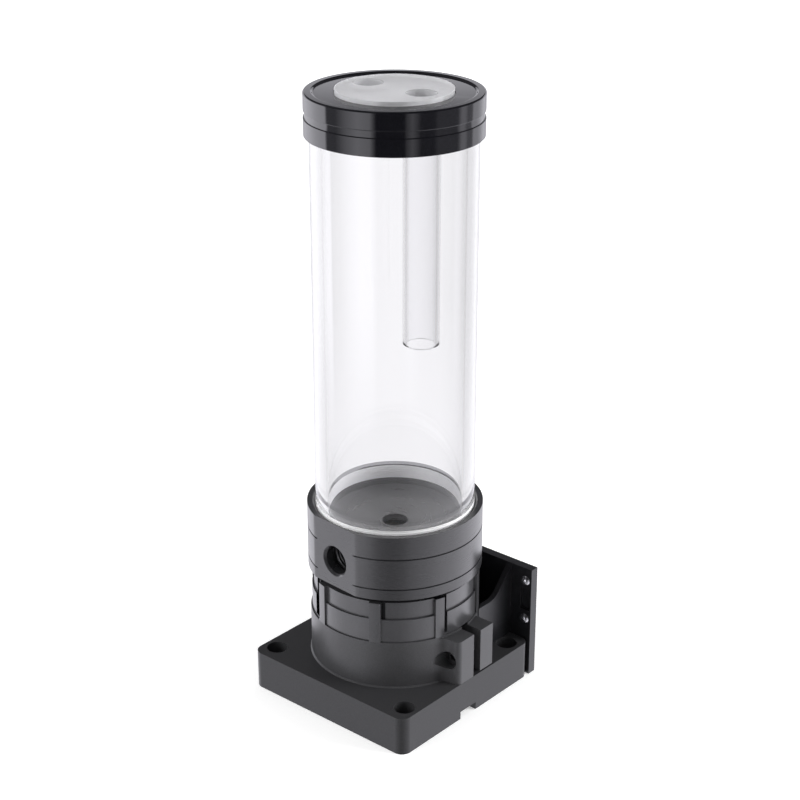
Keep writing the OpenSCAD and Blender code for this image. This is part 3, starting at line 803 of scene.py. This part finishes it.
for haze, rough in ((0.08, 0.1), (0.9, 0.4)):
    name = "cut acrylic %.2f" % haze
    tube.data.materials.append(cut_plastic(name, (0.98, 0.98, 0.99), rough, haze))
cut_faces = 0
for face in tube.data.polygons:
    z = face.center.z / MM
    outside = face.center.xy.length > (tube_r - THREAD_ZONE) * MM
    if outside and (z < foot_end + RUN_OUT[2] or z > head_start):
        frosty = foot_end - FROSTY_H < z < foot_end + RUN_OUT[1]
        face.material_index = 2 if frosty else 1
        cut_faces += 1
print(cut_faces, "cut faces on the tube")

# %% [markdown]
# ## The return tube
# A short clear pipe under one port lets returning coolant run in quietly below
# the surface. Its free end is cut square and polished round.

# %% Turn the return tube
PIPE_BORE_R = 5.5
PIPE_CHAMFER = 0.4
low, high = box_mm("return_tube")
pipe_r = (high.x - low.x) / 2
pipe = turned([
    (PIPE_BORE_R + PIPE_CHAMFER, low.z),
    (pipe_r - PIPE_CHAMFER, low.z),
    (pipe_r, low.z + PIPE_CHAMFER),
    (pipe_r, high.z),
    (PIPE_BORE_R, high.z),
    (PIPE_BORE_R, low.z + PIPE_CHAMFER),
], SMALL_FACETS)
pipe.location.x = (high.x + low.x) / 2 * MM
finish_piece(
    pipe, "clear_return_tube", FINISHES["clear_acrylic"],
    body_of_node["return_tube"], ["return_tube"],
)

# %% [markdown]
# ## The floor
# The floor is pale and plain and takes the object's shadow. It glows a little,
# more so further out, so that it runs into the white background without an
# edge. Reflections and light bent by the clear plastic pass through it to the
# studio behind.

# %% Floor
FLOOR_SIZE = 6
FLOOR_DROP = 0.1

start_fresh()
bpy.ops.mesh.primitive_plane_add(size=FLOOR_SIZE, location=(0, 0, -FLOOR_DROP * MM))
floor = bpy.context.object
floor.name = "floor"
material, nodes, links, shader = new_material("studio floor")
set_values(
    shader, Base_Color=(0.85, 0.85, 0.85, 1), Roughness=0.9, Specular_IOR_Level=0.0,
    Emission_Color=(1, 1, 1, 1),
)
floor.data.materials.append(material)
print("floor", FLOOR_SIZE, "m wide")

# %% Let the floor glow for the camera
where = nodes.new("ShaderNodeTexCoord")
far = nodes.new("ShaderNodeVectorMath")
far.operation = "LENGTH"
links.new(where.outputs["Object"], far.inputs[0])
fade = nodes.new("ShaderNodeMapRange")
set_values(fade, From_Min=0.1, From_Max=0.6, To_Min=0.4, To_Max=1.0)
links.new(far.outputs["Value"], fade.inputs["Value"])
rays = nodes.new("ShaderNodeLightPath")
glow = nodes.new("ShaderNodeMath")
glow.operation = "MULTIPLY"
links.new(rays.outputs["Is Camera Ray"], glow.inputs[0])
links.new(fade.outputs["Result"], glow.inputs[1])
links.new(glow.outputs[0], shader.inputs["Emission Strength"])
print("floor glows towards its edges")

# %% Let mirrored and bent light through the floor
past = nodes.new("ShaderNodeMath")
past.operation = "MAXIMUM"
links.new(rays.outputs["Is Glossy Ray"], past.inputs[0])
links.new(rays.outputs["Is Transmission Ray"], past.inputs[1])
through = nodes.new("ShaderNodeBsdfTransparent")
mix = nodes.new("ShaderNodeMixShader")
links.new(past.outputs[0], mix.inputs["Fac"])
links.new(shader.outputs["BSDF"], mix.inputs[1])
links.new(through.outputs["BSDF"], mix.inputs[2])
links.new(mix.outputs["Shader"], nodes["Material Output"].inputs["Surface"])
print("floor open to reflections")

# %% [markdown]
# ## The studio walls
# What a gloss black piece shows is the room round it. The room here is in the
# world's shader: white straight behind the object, with bright and dark walls
# round it, like the soft boxes and flags round a product table. The brightness
# goes by the direction that a ray leaves in. The cap is seen from a little
# above and the base from well above, so upright faces high up mirror the upper
# walls and those low down mirror the lower walls, and each has its own list of
# stops. Light bent by the clear plastic has a third list, nearly plain.

# %% The direction of a ray in the world
FRONT = -48.9
BRIGHTEST = 4.0

world = bpy.data.worlds.new("studio")
scene.world = world
world.use_nodes = True
nodes, links = world.node_tree.nodes, world.node_tree.links
where = nodes.new("ShaderNodeTexCoord")
split = nodes.new("ShaderNodeSeparateXYZ")
links.new(where.outputs["Generated"], split.inputs["Vector"])
turn = nodes.new("ShaderNodeMath")
turn.operation = "ARCTAN2"
links.new(split.outputs["Y"], turn.inputs[0])
links.new(split.outputs["X"], turn.inputs[1])
turn_range = nodes.new("ShaderNodeMapRange")
set_values(turn_range, From_Min=-math.pi, From_Max=math.pi)
links.new(turn.outputs[0], turn_range.inputs["Value"])
print("front of the object at", FRONT, "degrees")


# %% Helpers for the walls
def at_angle(stops, angle):
    """Brightness at an angle from the front, between the listed stops."""
    angle = (angle + 180) % 360 - 180
    round_trip = stops + [(180, stops[0][1])]
    for (a, one), (b, two) in zip(round_trip, round_trip[1:]):
        if a <= angle <= b:
            return one + (two - one) * (angle - a) / (b - a)


def wall_ramp(stops, tint):
    """A ramp round the horizon from stops given as angle from the front and brightness."""
    seam = at_angle(stops, 180 - FRONT)
    angles = sorted(((stop + FRONT + 180) % 360, level) for stop, level in stops)
    angles = [(0.0, seam)] + angles + [(360.0, seam)]
    walls = nodes.new("ShaderNodeValToRGB")
    links.new(turn_range.outputs["Result"], walls.inputs["Fac"])
    elements = walls.color_ramp.elements
    while len(elements) < len(angles):
        elements.new(0.5)
    for element, (angle, level) in zip(elements, angles):
        element.position = angle / 360
        element.color = (*(level / BRIGHTEST * part for part in tint), 1)
    return walls.outputs["Color"]


def background(strength, colour=None, level=1.0):
    """A background of one level, or of a colour that is worked out elsewhere."""
    shader = nodes.new("ShaderNodeBackground")
    set_values(shader, Strength=strength, Color=(level, level, level, 1))
    if colour is not None:
        links.new(colour, shader.inputs["Color"])
    return shader.outputs["Background"]


print("wall helpers ready")

# %% Brightness of the walls round the horizon
WALL_TINT = (0.98, 0.97, 1.04)
CLEAR_TINT = (1.0, 0.995, 1.01)
UPPER_WALLS = [
    (-180, 1.1), (-160, 0.9), (-148, 1.5), (-128, 2.4), (-97, 3.2), (-93, 0.4), (-79, 0.4),
    (-72, 0.85), (-64, 1.5), (-47, 2.5), (-31, 2.1), (-27, 0.9), (-23, 0.03), (12, 0.03),
    (15, 0.5), (22, 1.1), (28, 0.6), (33, 0.12), (50, 0.1), (56, 0.4), (85, 0.3), (92, 1.5),
    (98, 1.4), (104, 0.6), (112, 0.6), (116, 1.7), (126, 1.4), (145, 1.6), (158, 0.9),
]
LOWER_WALLS = [
    (-180, 0.6), (-150, 1.6), (-120, 1.9), (-98, 1.6), (-88, 1.4), (-76, 1.1), (-60, 1.0),
    (-40, 0.7), (-25, 0.4), (0, 0.33), (12, 0.45), (28, 0.8), (46, 1.15), (64, 1.5),
    (85, 1.6), (118, 1.9), (150, 1.5),
]
CLEAR_WALLS = [
    (-180, 1.06), (-168, 1.02), (-150, 0.86), (-110, 0.65), (-60, 0.6), (0, 0.75), (60, 0.6),
    (110, 0.6), (150, 0.8), (168, 1.0),
]
print(len(UPPER_WALLS), "upper and", len(LOWER_WALLS), "lower stops")

# %% Blend the walls by height
UPPER_ENDS, LOWER_STARTS = -0.34, -0.42
CEILING = (0.225, 0.25)
CEILING_SHARE = 0.08

low_part = nodes.new("ShaderNodeMapRange")
set_values(low_part, From_Min=UPPER_ENDS, From_Max=LOWER_STARTS)
links.new(split.outputs["Z"], low_part.inputs["Value"])
walls = nodes.new("ShaderNodeMix")
walls.data_type = "RGBA"
links.new(low_part.outputs["Result"], walls.inputs[0])
links.new(wall_ramp(UPPER_WALLS, WALL_TINT), walls.inputs[6])
links.new(wall_ramp(LOWER_WALLS, WALL_TINT), walls.inputs[7])
height = nodes.new("ShaderNodeMapRange")
set_values(height, From_Min=CEILING[0], From_Max=CEILING[1], To_Min=1.0, To_Max=CEILING_SHARE)
links.new(split.outputs["Z"], height.inputs["Value"])
mirrored = nodes.new("ShaderNodeVectorMath")
mirrored.operation = "SCALE"
links.new(walls.outputs[2], mirrored.inputs[0])
links.new(height.outputs["Result"], mirrored.inputs["Scale"])
print("walls blended between heights", UPPER_ENDS, "and", LOWER_STARTS)

# %% Show each kind of ray its own studio
rays = nodes.new("ShaderNodeLightPath")
shown = background(0.6, level=0.75)
for output, other in (
    ("Is Glossy Ray", background(BRIGHTEST, mirrored.outputs["Vector"])),
    ("Is Transmission Ray", background(BRIGHTEST, wall_ramp(CLEAR_WALLS, CLEAR_TINT))),
    ("Is Camera Ray", background(1.0)),
):
    mix = nodes.new("ShaderNodeMixShader")
    links.new(rays.outputs[output], mix.inputs["Fac"])
    links.new(shown, mix.inputs[1])
    links.new(other, mix.inputs[2])
    shown = mix.outputs["Shader"]
links.new(shown, nodes["World Output"].inputs["Surface"])
print("studio walls ready")

# %% [markdown]
# ## Lamps
# One large soft lamp from the front left shapes the body, a second one at the
# back right lifts the shaded side, and a faint one hangs above. They give the
# even light only; what the gloss shows is the studio's walls.


# %% Area lamps
LAMP_TARGET = Vector((0, 0, 0.1))


def area_lamp(name, place, size, power):
    start_fresh()
    bpy.ops.object.light_add(type="AREA", location=place)
    lamp = bpy.context.object
    lamp.name = name
    lamp.data.shape = "SQUARE"
    lamp.data.size = size
    lamp.data.energy = power
    lamp.visible_glossy = False
    lamp.visible_transmission = False
    aim = LAMP_TARGET - Vector(place)
    lamp.rotation_euler = aim.to_track_quat("-Z", "Y").to_euler()
    print(name, power, "W")


area_lamp("lamp_left", (-0.7, -1.2, 0.7), 0.8, 17)
area_lamp("lamp_right", (1.2, 0.85, 0.5), 0.8, 29)
area_lamp("lamp_top", (0.0, 0.2, 1.6), 1.2, 2)
scene.view_settings.view_transform = "Standard"
